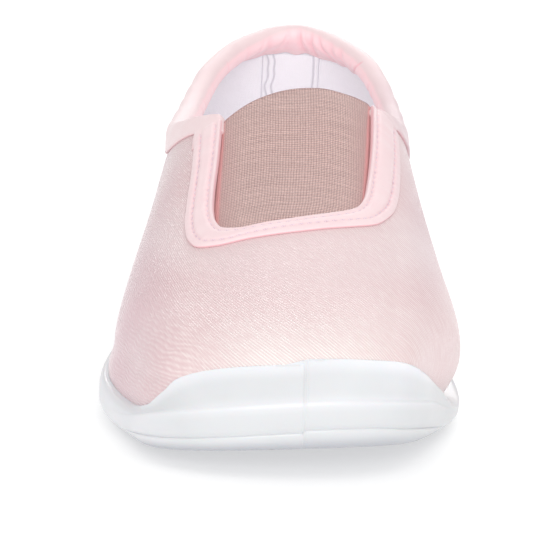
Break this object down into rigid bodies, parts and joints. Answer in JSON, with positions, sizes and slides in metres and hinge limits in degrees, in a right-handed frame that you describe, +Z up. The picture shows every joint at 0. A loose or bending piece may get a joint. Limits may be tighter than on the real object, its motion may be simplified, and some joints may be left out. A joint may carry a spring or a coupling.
{
  "type": "gymnastics slipper",
  "caption": "Child's slip-on gymnastics slipper for the right foot: soft fabric upper, elastic gore at the instep, taped collar and a low rubber cup sole with a toe cap.",
  "frame": {"origin": "on the floor, under the middle of the slipper's length and width", "axes": "+Y from the toe to the heel, +X to the medial side of this right slipper, +Z up from the floor"},
  "size_m": [0.0762, 0.1906, 0.0629],
  "materials": {
    "white_rubber": "moulded, semi-gloss",
    "footbed_fabric": "plain woven, matt",
    "pink_twill": "twill with a satin sheen",
    "pink_tape": "smooth tape, stitched",
    "pink_binding": "smooth folded tape, stitched",
    "rose_elastic": "woven elastic, matt"
  },
  "bodies": {
    "root": {"outsole": "white_rubber", "insole": "footbed_fabric", "upper": "pink_twill", "throat_facing": "pink_tape", "collar_binding": "pink_binding", "elastic_gore": "rose_elastic"}
  },
  "joints": []
}
